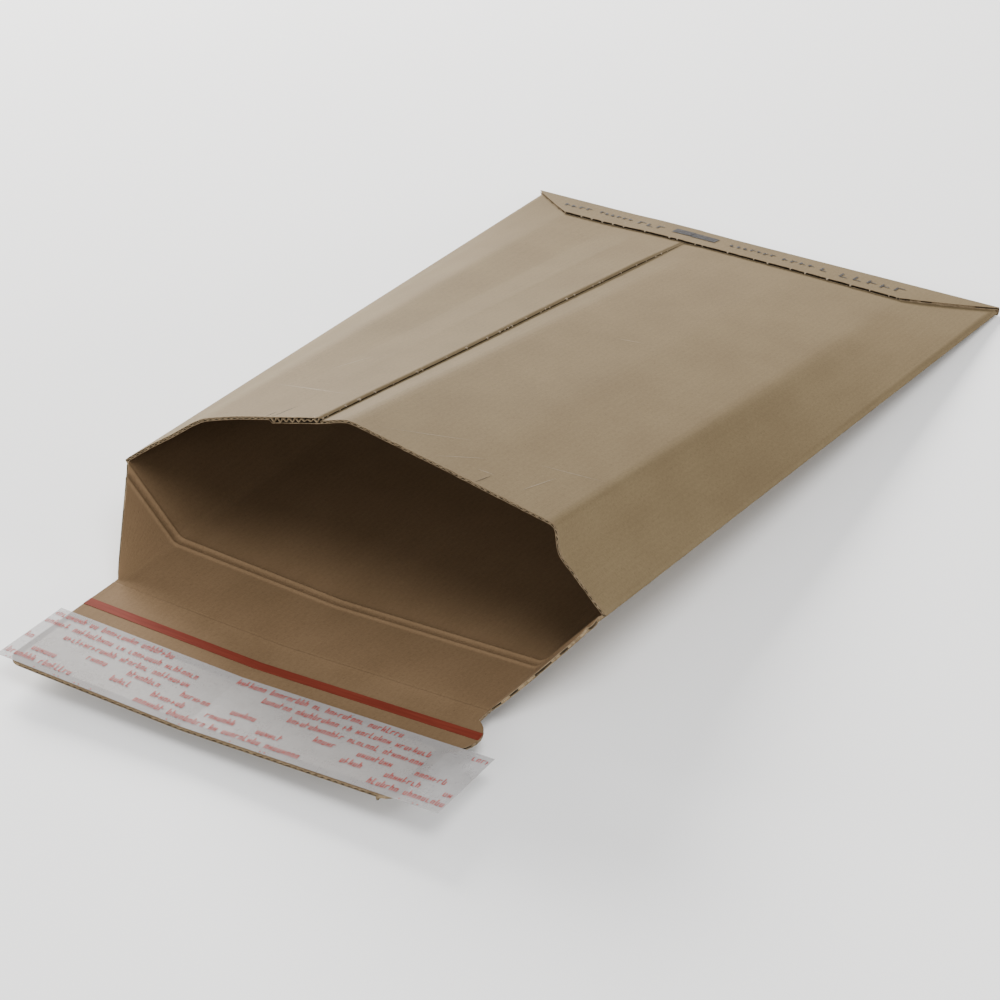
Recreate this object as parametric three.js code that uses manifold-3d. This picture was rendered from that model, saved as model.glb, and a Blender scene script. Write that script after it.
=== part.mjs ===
// A corrugated mailer envelope, opened for filling. One board is creased, folded round and glued:
// a floor with two side walls, two front panels lapped and glued along an off-centre seam, a bottom
// flap turned over the closed end, and a closing flap with its tear strip, adhesive strip and liner.
// Millimetres, +Z up. X runs across, Y from the mouth crease (0) to the closed end. The outer face of
// the floor lies on the table at Z 0, and the closing flap points towards -Y.

import * as THREE from 'three';
import { mergeVertices } from 'three/addons/utils/BufferGeometryUtils.js';
import Module from 'manifold-3d';

const wasm = await Module();
wasm.setup();

// Board and body
const board = 1.4;
const bodyLength = 376;
const flatWidth = 254.4;
const closedEndShift = 2.8;
const insideGap = 0.4;
const foldRadius = 0.5;

// Floor and side walls at the mouth
const floorFold = -7.2;
const floorLeft = 80.4;
const floorRight = 94.7;
const floorTiltLeft = 3.2;
const floorTiltRight = 2.0;
const floorSettle = 150;
const wallWidth = 39;
const wallAngleLeft = 48.4;
const wallAngleRight = 51.2;

// Front panels at the mouth, outer face
const crest = new THREE.Vector2(-8.2, 83);
const rightPanelMiddle = new THREE.Vector2(39.1, 75.4);
const rightShoulder = new THREE.Vector2(88, 66.8);
const rightShoulderFoot = new THREE.Vector2(90.4, 56.1);
const leftPanelMiddle = new THREE.Vector2(-60, 70.3);
const leftShoulder = new THREE.Vector2(-75.6, 65.2);
const leftShoulderFoot = new THREE.Vector2(-81.5, 61.4);
const leftFacetUpper = new THREE.Vector2(-90.4, 54.3);
const leftFacetLower = new THREE.Vector2(-102.3, 45.6);
const facetCrown = 2;

// Lap seam: the left panel lies on the right one
const seamAtMouth = new THREE.Vector2(-20.6, 80.4);
const lapWidth = 23;
const lapEase = 16;
const seamFromCornerFar = 94;
const seamStep = 0.05;

// Creases of the front where they reach the closed end, from the nearer corner
const leftCreaseFar = 26;
const rightCreaseFar = 42;

// Bottom flap, glued over the front
const bottomFlapDepth = 22;
const glueSink = 0.4;

// Closing flap
const flapLength = 114;
const gussetLength = 41.5;
const flapLeft = 90.6;
const flapRight = 87.4;
const flapTiltLeft = 1.6;
const flapTiltRight = 2.0;
const flapRise = 5.1;
const flapRiseOuter = 3.1;
const secondCrease = 44;
const beadHeight = 0.7;
const beadWidth = 2.2;
const beadFirst = 1.6;
const beadSecond = 6.1;
const endCorner = 6;

// Tear strip, adhesive strip and liner, counted back from the flap's end
const linerWidth = 41;
const linerSetback = 0.4;
const adhesiveInset = 3;
const adhesiveMargin = 4;
const tearStripWidth = 5;
const tearStripToLiner = 8.1;
const linerOverhangLeft = 4.8;
const linerOverhangRight = 19;

// Tear tab on the flap's right edge, round the end of the tear strip
const tabLength = 24;
const tabReach = 7;
const tabBehindStrip = 2;

// Films
const filmGap = 0.05;
const filmThickness = 0.12;

// Derived places
const rad = THREE.MathUtils.degToRad;
const cornerLeft = closedEndShift - flatWidth / 2;
const cornerRight = closedEndShift + flatWidth / 2;
const seamFar = cornerLeft + seamFromCornerFar;
const linerStart = flapLength - linerSetback - linerWidth;
const tearStripStart = linerStart - tearStripToLiner - tearStripWidth;
const tabStart = tearStripStart + (tearStripWidth - tabLength) / 2 + tabBehindStrip;
const wrapStart = bodyLength - board - (board + insideGap) / 2;
const creaseLeft = new THREE.Vector2(floorFold - floorLeft, board + floorLeft * Math.tan(rad(floorTiltLeft)));
const creaseRight = new THREE.Vector2(floorFold + floorRight, board + floorRight * Math.tan(rad(floorTiltRight)));
const tipLeft = new THREE.Vector2(-Math.cos(rad(wallAngleLeft)), Math.sin(rad(wallAngleLeft)))
  .multiplyScalar(wallWidth).add(creaseLeft);
const tipRight = new THREE.Vector2(Math.cos(rad(wallAngleRight)), Math.sin(rad(wallAngleRight)))
  .multiplyScalar(wallWidth).add(creaseRight);

// The section's columns run from the seam clockwise round the envelope and back to the seam.
// Each has its place on the inner face at the mouth and at the closed end, how many boards lie
// there, and how many of them the inner face is lifted by.
function front(mouthOuter, farX, extra = {}) {
  const layers = extra.layers ?? 1;
  const lift = extra.lift ?? 0;
  return {
    mouth: new THREE.Vector2(mouthOuter.x, mouthOuter.y - (layers + lift) * board),
    far: new THREE.Vector2(farX, board + insideGap),
    layers,
    lift,
    crown: extra.crown ?? 0,
    side: 'front',
  };
}

function floorColumn(mouth, farX) {
  return { mouth, far: new THREE.Vector2(farX, board), layers: 1, lift: 0, crown: 0, side: 'floor' };
}

function foldColumns(tip, cornerX) {
  const sign = Math.sign(cornerX);
  const inner = cornerX - sign * board;
  const half = insideGap / 2;
  const column = (dx, dz, far) => ({
    mouth: new THREE.Vector2(tip.x - sign * dx, tip.y + dz),
    far,
    layers: 1,
    lift: 0,
    crown: 0,
    side: 'fold',
  });
  return [
    column(foldRadius, foldRadius, new THREE.Vector2(inner - sign * half, board + insideGap)),
    column(0, 0, new THREE.Vector2(inner, board + half)),
    column(foldRadius, -foldRadius, new THREE.Vector2(inner - sign * half, board)),
  ];
}

function onSegment(from, to, x) {
  return new THREE.Vector2(x, THREE.MathUtils.mapLinear(x, from.x, to.x, from.y, to.y));
}

function rightHalf() {
  const [top, middle, bottom] = foldColumns(tipRight, cornerRight);
  const crestFar = seamFar + (crest.x - seamAtMouth.x);
  return [
    front(new THREE.Vector2(seamAtMouth.x + seamStep, seamAtMouth.y - board), seamFar + seamStep),
    front(crest, crestFar),
    front(rightPanelMiddle, (crestFar + cornerRight - rightCreaseFar) / 2, { crown: 1 }),
    front(rightShoulder, cornerRight - rightCreaseFar),
    front(rightShoulderFoot, cornerRight - rightCreaseFar * 0.8),
    top,
    middle,
    bottom,
  ];
}

function floorPart() {
  const fold = new THREE.Vector2(floorFold, board);
  const far = (x) => x + closedEndShift;
  const lapFar = [seamFar + lapEase, seamFar, seamFar - lapWidth, seamFar - lapWidth - lapEase];
  const spread = (i) => fold.clone().lerp(creaseLeft, (i + 1) / (lapFar.length + 1));
  return [
    floorColumn(creaseRight, cornerRight - wallWidth),
    floorColumn(fold, far(floorFold)),
    ...lapFar.map((x, i) => floorColumn(spread(i), x)),
    floorColumn(creaseLeft, cornerLeft + wallWidth),
  ];
}

function leftHalf() {
  const [top, middle, bottom] = foldColumns(tipLeft, cornerLeft);
  const hiddenMouth = onSegment(leftPanelMiddle, seamAtMouth, seamAtMouth.x - lapWidth);
  const hiddenFar = seamFar - lapWidth;
  const step = (point) => new THREE.Vector2(point.x - seamStep, point.y);
  return [
    bottom,
    middle,
    top,
    front(leftFacetLower, cornerLeft + leftCreaseFar * 0.35, { crown: facetCrown * 0.7 }),
    front(leftFacetUpper, cornerLeft + leftCreaseFar * 0.7, { crown: facetCrown }),
    front(leftShoulderFoot, cornerLeft + leftCreaseFar * 0.9, { crown: facetCrown * 0.8 }),
    front(leftShoulder, cornerLeft + leftCreaseFar, { crown: facetCrown * 0.5 }),
    front(leftPanelMiddle, hiddenFar - lapEase),
    front(step(hiddenMouth), hiddenFar - seamStep, { lift: 1 }),
    front(hiddenMouth, hiddenFar, { layers: 2 }),
    front(seamAtMouth, seamFar, { layers: 2 }),
  ];
}

const columns = [...rightHalf(), ...floorPart(), ...leftHalf()];
const floorStart = columns.findIndex((column) => column.side === 'fold') + 1;
const floorEnd = columns.length - 1 - [...columns].reverse().findIndex((column) => column.side === 'fold') - 1;

// The raw mouth edge of the front draws back as the panels swing up.
function setback(column) {
  if (column.side !== 'front') return 0;
  return (column.mouth.y ** 2 - Math.min(tipLeft.y, tipRight.y) ** 2) / (2 * bodyLength);
}

function columnPoint(column, share) {
  const point = column.mouth.clone().lerp(column.far, share);
  if (column.side === 'floor') {
    const settle = Math.max(0, 1 - share * wrapStart / floorSettle) ** 2;
    point.y = board + (column.mouth.y - board) * settle;
  }
  point.y += column.crown * Math.sin(Math.PI * share);
  return point;
}

// Mitred normals of a path in X and Z, pointing out of the envelope. The ends use their own segment.
function pathNormals(path, closed) {
  const count = path.length;
  return path.map((point, i) => {
    const before = closed ? path[(i + count - 1) % count] : path[Math.max(i - 1, 0)];
    const after = closed ? path[(i + 1) % count] : path[Math.min(i + 1, count - 1)];
    const inward = point.clone().sub(before);
    const onward = after.clone().sub(point);
    const a = (inward.lengthSq() > 0 ? inward : onward).clone().normalize();
    const b = (onward.lengthSq() > 0 ? onward : inward).clone().normalize();
    const normal = new THREE.Vector2(-a.y - b.y, a.x + b.x).normalize();
    return normal.divideScalar(Math.max(0.5, normal.dot(new THREE.Vector2(-a.y, a.x))));
  });
}

// One row of the tube: the inner and outer point of every column.
function tubeRow(share) {
  const path = columns.map((column) => columnPoint(column, share));
  const normals = pathNormals(path, true);
  return columns.map((column, i) => {
    const y = THREE.MathUtils.lerp(setback(column), wrapStart, share);
    const at = (boards) => {
      const p = path[i].clone().addScaledVector(normals[i], boards * board);
      return new THREE.Vector3(p.x, y, p.y);
    };
    return { inner: at(column.lift), outer: at(column.lift + column.layers) };
  });
}

// A closed solid between an inner and an outer grid of points, with walls along every open border.
function sheetGeometry(rows, closedRound = false) {
  const height = rows.length;
  const width = rows[0].length;
  const positions = rows.flatMap((row) => row.flatMap((cell) => [...cell.inner, ...cell.outer]));
  const triangles = [];
  const id = (j, k, face) => 2 * (j * width + (k % width)) + face;
  const quad = (a, b, c, d) => triangles.push(a, b, c, a, c, d);
  const spans = closedRound ? width : width - 1;
  for (let j = 0; j < height - 1; j += 1) {
    for (let k = 0; k < spans; k += 1) {
      quad(id(j, k, 1), id(j + 1, k, 1), id(j + 1, k + 1, 1), id(j, k + 1, 1));
      quad(id(j, k, 0), id(j, k + 1, 0), id(j + 1, k + 1, 0), id(j + 1, k, 0));
    }
    if (!closedRound) {
      quad(id(j, 0, 0), id(j + 1, 0, 0), id(j + 1, 0, 1), id(j, 0, 1));
      quad(id(j, width - 1, 0), id(j, width - 1, 1), id(j + 1, width - 1, 1), id(j + 1, width - 1, 0));
    }
  }
  for (let k = 0; k < spans; k += 1) {
    quad(id(0, k, 0), id(0, k, 1), id(0, k + 1, 1), id(0, k + 1, 0));
    quad(id(height - 1, k, 0), id(height - 1, k + 1, 0), id(height - 1, k + 1, 1), id(height - 1, k, 1));
  }
  const geometry = new THREE.BufferGeometry();
  geometry.setAttribute('position', new THREE.Float32BufferAttribute(positions, 3));
  geometry.setIndex(triangles);
  if (signedVolume(geometry) < 0) {
    for (let i = 0; i < triangles.length; i += 3) {
      [triangles[i + 1], triangles[i + 2]] = [triangles[i + 2], triangles[i + 1]];
    }
    geometry.setIndex(triangles);
  }
  return geometry;
}

function signedVolume(geometry) {
  const { position } = geometry.attributes;
  const index = geometry.index.array;
  const corner = [0, 1, 2].map(() => new THREE.Vector3());
  let volume = 0;
  for (let i = 0; i < index.length; i += 3) {
    corner.forEach((vertex, n) => vertex.fromBufferAttribute(position, index[i + n]));
    volume += corner[0].dot(corner[1].cross(corner[2])) / 6;
  }
  return volume;
}

function solidOf(geometry) {
  const merged = mergeVertices(geometry, 1e-5);
  return new wasm.Manifold(new wasm.Mesh({
    numProp: 3,
    vertProperties: new Float32Array(merged.attributes.position.array),
    triVerts: new Uint32Array(merged.index.array),
  }));
}

function geometryOf(solid) {
  const mesh = solid.getMesh();
  const geometry = new THREE.BufferGeometry();
  geometry.setAttribute('position', new THREE.Float32BufferAttribute(mesh.vertProperties, 3));
  geometry.setIndex([...mesh.triVerts]);
  return geometry;
}

// Tube: floor, side walls and the two lapped front panels.
const tubeShares = [0, 0.03, 0.08, 0.14, 0.2, 0.27, 0.34, floorSettle / wrapStart, 0.55, 0.7, 0.85, 0.94, 1];

function tube() {
  return sheetGeometry(tubeShares.map(tubeRow), true);
}

// Height of the front's outer face near the closed end.
function frontHeight(x, y) {
  const row = tubeRow(y / wrapStart);
  const tops = row.filter((cell, i) => columns[i].side === 'front').map((cell) => cell.outer);
  tops.sort((a, b) => a.x - b.x);
  const next = tops.findIndex((point) => point.x >= x);
  if (next <= 0) return tops[next === 0 ? 0 : tops.length - 1].z;
  const [a, b] = [tops[next - 1], tops[next]];
  return THREE.MathUtils.mapLinear(x, a.x, b.x, a.z, b.z);
}

// Bottom flap: the floor runs on round the closed end and lies glued on the front, with cut-off corners.
function bottomFlap() {
  const start = tubeRow(1).slice(floorStart, floorEnd + 1);
  const ends = [start[0].outer.x, start[start.length - 1].outer.x];
  const turn = (cell, degrees) => {
    const top = frontHeight(cell.outer.x, wrapStart) - glueSink;
    const middle = (top + board) / 2;
    const at = (reach) => new THREE.Vector3(
      cell.outer.x,
      wrapStart + (reach - (top - board) / 2 + (board + insideGap) / 2) * Math.sin(rad(degrees)),
      middle - reach * Math.cos(rad(degrees)),
    );
    const half = (top - board) / 2;
    return { inner: at(half), outer: at(half + board) };
  };
  const laid = (cell, depth) => {
    const share = depth / bottomFlapDepth;
    const right = THREE.MathUtils.lerp(ends[0], cornerRight - rightCreaseFar, share);
    const left = THREE.MathUtils.lerp(ends[1], cornerLeft + leftCreaseFar, share);
    const x = THREE.MathUtils.clamp(cell.outer.x, left, right);
    const y = wrapStart - depth;
    const height = frontHeight(x, y) - glueSink;
    return { inner: new THREE.Vector3(x, y, height), outer: new THREE.Vector3(x, y, height + board) };
  };
  const turns = [30, 60, 90, 120, 150, 180].map((degrees) => start.map((cell) => turn(cell, degrees)));
  const depths = [0.25, 0.5, 0.75, 1].map((share) => start.map((cell) => laid(cell, share * bottomFlapDepth)));
  return sheetGeometry([start, ...turns, ...depths]);
}

// Closing flap: its inner face as a height over the table, across (x) and out from the mouth (v).
function bead(v) {
  const ridge = (centre) => Math.max(0, 1 - Math.abs(v - centre) / (beadWidth / 2));
  return beadHeight * (ridge(beadFirst) + ridge(beadSecond));
}

function flapHeight(x, v) {
  const root = Math.min(v, secondCrease) / secondCrease;
  const rise = Math.max(0, Math.min(v, secondCrease) - beadSecond) * Math.tan(rad(flapRise))
    + Math.max(0, v - secondCrease) * Math.tan(rad(flapRiseOuter));
  const tilt = x < floorFold
    ? THREE.MathUtils.lerp(floorTiltLeft, flapTiltLeft, root)
    : THREE.MathUtils.lerp(floorTiltRight, flapTiltRight, root);
  return board + rise + Math.abs(x - floorFold) * Math.tan(rad(tilt));
}

function cornerInset(v) {
  const into = v - (flapLength - endCorner);
  return into > 0 ? endCorner - Math.sqrt(Math.max(0, endCorner ** 2 - into ** 2)) : 0;
}

function tabBulge(v) {
  const half = tabLength / 2;
  const along = Math.abs(v - tabStart - half);
  if (along >= half) return 0;
  const radius = (half ** 2 + tabReach ** 2) / (2 * tabReach);
  return Math.sqrt(radius ** 2 - along ** 2) - (radius - tabReach);
}

function flapEdges(v) {
  return { left: -flapLeft + cornerInset(v), right: flapRight + tabBulge(v) - cornerInset(v) };
}

// A gusset runs from the side wall's fold to the flap's cut edge and folds along the floor crease.
function flapRow(v) {
  const share = Math.min(1, v / gussetLength);
  const edges = flapEdges(v);
  const place = (column, i) => {
    if (column.side === 'fold') {
      const edge = column.mouth.x < 0 ? edges.left : edges.right;
      const inset = Math.sign(edge) * (i === floorStart || i === floorEnd ? 0 : 0.6);
      const x = THREE.MathUtils.lerp(column.mouth.x, edge - inset, share);
      return new THREE.Vector2(x, THREE.MathUtils.lerp(column.mouth.y, flapHeight(edge - inset, v), share));
    }
    const margin = 1.2;
    const x = THREE.MathUtils.clamp(column.mouth.x, edges.left + margin, edges.right - margin);
    return new THREE.Vector2(x, flapHeight(x, v));
  };
  const part = columns.slice(floorStart, floorEnd + 1);
  const path = part.map((column, i) => place(column, i + floorStart));
  path.forEach((point) => { point.y += bead(v); });
  const normals = pathNormals(path, false);
  return path.map((point, i) => {
    const outer = point.clone().addScaledVector(normals[i], board);
    return { inner: new THREE.Vector3(point.x, -v, point.y), outer: new THREE.Vector3(outer.x, -v, outer.y) };
  });
}

function closingFlap() {
  const half = beadWidth / 2;
  const beads = [beadFirst, beadSecond].flatMap((centre) => [centre - half, centre, centre + half]);
  const gusset = [0.3, 0.5, 0.75, 0.92, 1].map((share) => share * gussetLength);
  const tab = [0, 0.02, 0.06, 0.12, 0.2, 0.35, 0.5, 0.65, 0.8, 0.88, 0.94, 0.98, 1]
    .map((share) => tabStart + share * tabLength);
  const corner = [0, 30, 50, 70, 82].map((angle) => flapLength - endCorner * (1 - Math.sin(rad(angle))));
  const places = [...beads, ...gusset, secondCrease, ...tab, ...corner, flapLength].sort((a, b) => a - b);
  const root = tubeRow(0).slice(floorStart, floorEnd + 1);
  return sheetGeometry([root, ...places.map(flapRow)]);
}

// Thin strips lie on the flap's inner face and fold with it along the centre.
function strip(start, width, leftEdge, rightEdge, base, steps = 1) {
  const rows = [];
  for (let j = 0; j <= steps; j += 1) {
    const v = start + width * j / steps;
    const xs = [leftEdge(v), floorFold, rightEdge(v)];
    rows.push(xs.map((x) => {
      const z = flapHeight(x, v) + base;
      return { inner: new THREE.Vector3(x, -v, z + filmThickness), outer: new THREE.Vector3(x, -v, z) };
    }));
  }
  return sheetGeometry(rows);
}

function tearStrip() {
  return strip(tearStripStart, tearStripWidth, (v) => flapEdges(v).left, (v) => flapEdges(v).right, filmGap, 4);
}

function adhesiveStrip() {
  const left = () => -flapLeft + adhesiveInset;
  const right = () => flapRight - adhesiveInset;
  return strip(linerStart + adhesiveMargin, linerWidth - 2 * adhesiveMargin, left, right, filmGap);
}

function releaseLiner() {
  const left = () => -flapLeft - linerOverhangLeft;
  const right = () => flapRight + linerOverhangRight;
  return strip(linerStart, linerWidth, left, right, 2 * filmGap + filmThickness);
}

const kraft = new THREE.MeshStandardMaterial({ color: 0xa08a68, roughness: 0.9, metalness: 0 });
const tearRed = new THREE.MeshStandardMaterial({ color: 0x8c3a2c, roughness: 0.55, metalness: 0 });
const glueClear = new THREE.MeshStandardMaterial({ color: 0xc9c2b4, roughness: 0.3, metalness: 0 });
const linerPale = new THREE.MeshStandardMaterial({ color: 0xd6d2cc, roughness: 0.4, metalness: 0 });

function piece(name, geometry, material) {
  const flat = geometry.index ? geometry.toNonIndexed() : geometry;
  flat.computeVertexNormals();
  const mesh = new THREE.Mesh(flat, material);
  mesh.name = name;
  return mesh;
}

const foldedBoard = solidOf(tube()).add(solidOf(bottomFlap())).add(solidOf(closingFlap()));

const envelope = new THREE.Group();
envelope.add(piece('envelope_board', geometryOf(foldedBoard), kraft));
envelope.add(piece('tear_strip', tearStrip(), tearRed));
envelope.add(piece('adhesive_strip', adhesiveStrip(), glueClear));
envelope.add(piece('release_liner', releaseLiner(), linerPale));

// The origin is under the middle of the whole envelope's box.
const box = new THREE.Box3().setFromObject(envelope);
const centre = box.getCenter(new THREE.Vector3());
envelope.children.forEach((mesh) => mesh.position.set(-centre.x, -centre.y, -box.min.z));

export default envelope;
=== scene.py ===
"""A corrugated mailer envelope, opened for filling, with the surface detail of real kraft board.

The board is one folded sheet, with soft creases, paper liners and fluting that show at its cut
edges, and nicked zip cuts. Sizes are in millimetres in the sheet's own frame, where Y 0 is the
mouth crease and the closing flap points to -Y, and become metres in the part's frame as each mesh
is made. Lights are placed in metres.
"""
import math
import random

import bpy
from mathutils import Matrix, Vector, noise


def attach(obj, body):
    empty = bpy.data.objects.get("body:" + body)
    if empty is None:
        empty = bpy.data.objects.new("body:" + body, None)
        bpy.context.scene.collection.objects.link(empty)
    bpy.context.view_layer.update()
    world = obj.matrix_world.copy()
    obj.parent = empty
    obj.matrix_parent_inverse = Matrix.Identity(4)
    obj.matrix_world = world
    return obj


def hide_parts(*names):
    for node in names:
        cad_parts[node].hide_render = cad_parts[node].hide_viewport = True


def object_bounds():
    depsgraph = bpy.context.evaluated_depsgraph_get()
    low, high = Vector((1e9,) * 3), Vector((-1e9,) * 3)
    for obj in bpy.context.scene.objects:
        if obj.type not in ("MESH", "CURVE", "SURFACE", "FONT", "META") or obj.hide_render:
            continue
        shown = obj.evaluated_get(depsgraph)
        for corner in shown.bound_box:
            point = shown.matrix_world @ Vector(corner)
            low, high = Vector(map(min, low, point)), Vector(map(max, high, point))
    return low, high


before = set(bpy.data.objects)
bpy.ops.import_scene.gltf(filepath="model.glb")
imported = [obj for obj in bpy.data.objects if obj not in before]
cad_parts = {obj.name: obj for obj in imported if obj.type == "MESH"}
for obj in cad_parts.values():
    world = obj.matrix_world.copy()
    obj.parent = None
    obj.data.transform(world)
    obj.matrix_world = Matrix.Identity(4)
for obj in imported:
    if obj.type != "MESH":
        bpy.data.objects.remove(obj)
cad_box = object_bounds()

MM = 0.001

# Board and body
BOARD = 1.4
BODY_LENGTH = 376.0
FLAT_WIDTH = 254.4
CLOSED_END_SHIFT = 2.8
INSIDE_GAP = 0.4
FOLD_RADIUS = 0.5

# Floor and side walls at the mouth
FLOOR_FOLD = -7.2
FLOOR_LEFT, FLOOR_RIGHT = 80.4, 94.7
FLOOR_TILT_LEFT, FLOOR_TILT_RIGHT = 3.2, 2.0
FLOOR_SETTLE = 150.0
WALL_WIDTH = 39.0
WALL_ANGLE_LEFT, WALL_ANGLE_RIGHT = 48.4, 51.2

# Front panels at the mouth, outer face
CREST = (-8.2, 83.0)
RIGHT_PANEL_MIDDLE = (39.1, 75.4)
RIGHT_SHOULDER = (88.0, 66.8)
RIGHT_SHOULDER_FOOT = (90.4, 56.1)
RIGHT_PANEL_CROWN = 1.0
LEFT_PANEL_MIDDLE = (-60.0, 70.3)
LEFT_SHOULDER = (-75.6, 65.2)
LEFT_SHOULDER_FOOT = (-81.5, 61.4)
LEFT_FACET_UPPER = (-90.4, 54.3)
LEFT_FACET_LOWER = (-102.3, 45.6)
FACET_CROWN = 2.0
SEAM_AT_MOUTH = (-20.6, 80.4)
LAP_WIDTH, LAP_EASE = 23.0, 16.0
SEAM_FROM_CORNER_FAR = 94.0
LAP_PRESSED, LAP_PRESS_START, LAP_PRESS_LENGTH = 0.7, 0.8, 0.14
SEAM_STEP = 0.05
LEFT_CREASE_FAR, RIGHT_CREASE_FAR = 26.0, 42.0
FOOT_PULL, FOOT_FADE, FOOT_FAR = 5.2, 0.5, 0.8
BOTTOM_FLAP_DEPTH = 22.0

# Lines of the left side: place at the mouth, share of the far crease's place, share of the crown
LEFT_LINES = (
    (LEFT_FACET_LOWER, 0.35, 0.7),
    (LEFT_FACET_UPPER, 0.7, 1.0),
    (LEFT_SHOULDER_FOOT, 0.9, 0.8),
    (LEFT_SHOULDER, 1.0, 0.5),
)

# Closing flap, with the two beads at its root and the groove of its second crease
FLAP_LENGTH = 114.0
GUSSET_LENGTH = 41.5
FLAP_LEFT, FLAP_RIGHT = 90.6, 87.4
FLAP_TILT_LEFT, FLAP_TILT_RIGHT = 1.6, 2.0
FLAP_RISE, FLAP_RISE_OUTER = 5.1, 3.1
SECOND_CREASE = 44.0
BEAD_HEIGHT, BEAD_WIDTH = 0.7, 2.2
BEAD_FIRST, BEAD_SECOND = 1.6, 6.1
BEAD_SPREAD, BEAD_HOLLOW = 0.85, 1.5
BEAD_RIDGE_SHARE, BEAD_HOLLOW_SHARE, BEAD_START = 1.15, 0.6, 0.5
GROOVE_DEPTH, GROOVE_RIM, GROOVE_WIDTH = 0.22, 0.16, 0.5
EDGE_ROOM = 1.2
END_CORNER = 6.0
LINER_WIDTH, LINER_SETBACK = 41.0, 0.4
TEAR_STRIP_WIDTH, TEAR_STRIP_TO_LINER = 5.0, 8.1
LINER_OVERHANG_LEFT, LINER_OVERHANG_RIGHT = 4.8, 19.0
TAB_LENGTH, TAB_REACH, TAB_BEHIND_STRIP = 24.0, 7.0, 2.0

# Sag of the front: height, spacing across and along, place in the noise, and how soon it fades
SAG, SAG_ACROSS, SAG_ALONG, SAG_SEED, SAG_FADE = 0.55, 70.0, 95.0, 3.7, 1.1

# Waviness of the cut edges
RAGGED_SPACING = 4.5
MOUTH_RAGGED, MOUTH_RAGGED_SEED = 0.25, 1.3
BOTTOM_FLAP_RAGGED, BOTTOM_FLAP_RAGGED_SEED = 0.3, 8.1

# Paper and fluting
PAPER = 0.27
FLUTE_PITCH = 3.0
FLUTE_DEPTH = 3.0
FLUTE_STEPS = 10
MEDIUM = 0.26
THICKEST_SKIN = 0.45
FLAP_EDGE_DEPTH, SIDE_CUT_DEPTH = 3.5, 0.3
CORNER_CUT_IN, CORNER_CUT_BACK = 0.6, 0.4

# How crushed the fluting is where it shows, and how far its waves wander
CRUSH_MIDDLE, CRUSH_SPREAD, CRUSH_SPACING, CRUSH_LEAST = 0.8, 0.9, 8, 0.2
FLUTE_DRIFT, FLUTE_DRIFT_SPACING = 0.6, 17

# Painted shade where a lengthwise cut gapes: spacing, place in the noise and level
GAPE_SPACING_X, GAPE_SPACING_Y, GAPE_SEED, GAPE_LEVEL = 9.0, 7.0, 2.0, 0.05

# Mesh steps
COLUMN_STEP = 2.0
MOUTH_SHARE, MOUTH_STEPS, BODY_STEPS = 0.08, 8, 60
SEAM_END, SEAM_STEPS = 0.955, 260
WRAP_FIRST_ANGLE, WRAP_STEPS, BOTTOM_FLAP_STEPS = 15, 11, 9
CLOSEST_POINTS = 0.02
BEAD_STEPS, GUSSET_STEPS, OUTER_STEPS = 22, 10, 6
PAST_BEADS, PAST_TAB = 10, 3
BRIDGE = (-16, -12, -8, -4, 0, 4, 8)
TAB_SHARES = (
    0, 0.01, 0.03, 0.06, 0.1, 0.16, 0.24, 0.34, 0.44, 0.56, 0.66, 0.76, 0.84, 0.9, 0.94, 0.97, 0.99, 1,
)
SECOND_CREASE_STEPS = (-1.2, -0.6, -0.3, 0, 0.3, 0.6, 0.9, 1.4)
CORNER_ANGLES = (15, 30, 45, 60, 72, 82, 90)

# Seam: where each lip starts and ends on the step, how far it stands out there, and its wavering
SEAM_LIPS = ((0.0, 0.34, 0.0, 0.6), (0.7, 1.0, 0.7, 1.5))
LIP_WANDER, LIP_SPACING, LIP_SEED, LIP_LIFT = 0.14, 3.1, 4.0, 0.04

# Torn bridges of paper along the zip cuts
SEAM_TUFT_SEED, FLAP_TUFT_SEED = 27, 52
SEAM_TUFT_FIRST, SEAM_TUFT_LAST = 0.001, 0.93
SEAM_TUFT_STEPS = (0.012, 0.022, 0.034, 0.05)
TUFT_DROP = 0.5

# Rows of small red marks on the liner, with the marks of each group counted
PRINT_SEED, PRINT_ROWS = 41, 8
PRINT_ROW, PRINT_STEP, PRINT_BEFORE, PRINT_OFF_EDGE = 6.4, 16.0, 140, 1.0
PRINT_REPEAT, PRINT_GAP, PRINT_LEAST_GAP = 118, 12, 8.0
PRINT_LIFT, PRINT_MARGIN, PRINT_SIDE_MARGIN = 0.5, 0.4, 0.6
LETTER_PITCH, LETTER_WIDTH, STROKE, STROKE_LEAST = 1.95, 1.4, 0.46, 0.1
LETTER_LOW, LETTER_TALL = 2.5, 3.9
TALL_SHARE, TWO_STROKE_SHARE, WIDE_GAP = 0.25, 0.75, 5
WORDS = ((5, 8, 7, 6), (7, 9, 2, 9, 8), (7, 10, 2, 8, 8), (13, 7, 9), (5, 8, 7, 6))

# Grey marks on the bottom flap: first and last place across and size of each group, and a block
MARK_SEED = 63
MARK_GROUPS = (
    (-104, -88, 3.2), (-84, -66, 2.6), (-61, -46, 4.2), (-9, 15, 2.8), (20, 36, 3.6),
    (41, 44, 4.6), (52, 88, 5.6),
)
MARK_DEPTH, MARK_WANDER, MARK_LIFT, MARK_STEPS = 9.0, 0.6, 0.3, 4
MARK_STROKE, MARK_BAR, MARK_BAR_ROOM = 1.1, 0.9, 0.6
MARK_WIDTH, MARK_PITCH = 0.8, 1.3
BLOCK_PLACE, BLOCK_DEPTHS = (-41, -17), (6.5, 13.5)

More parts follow.
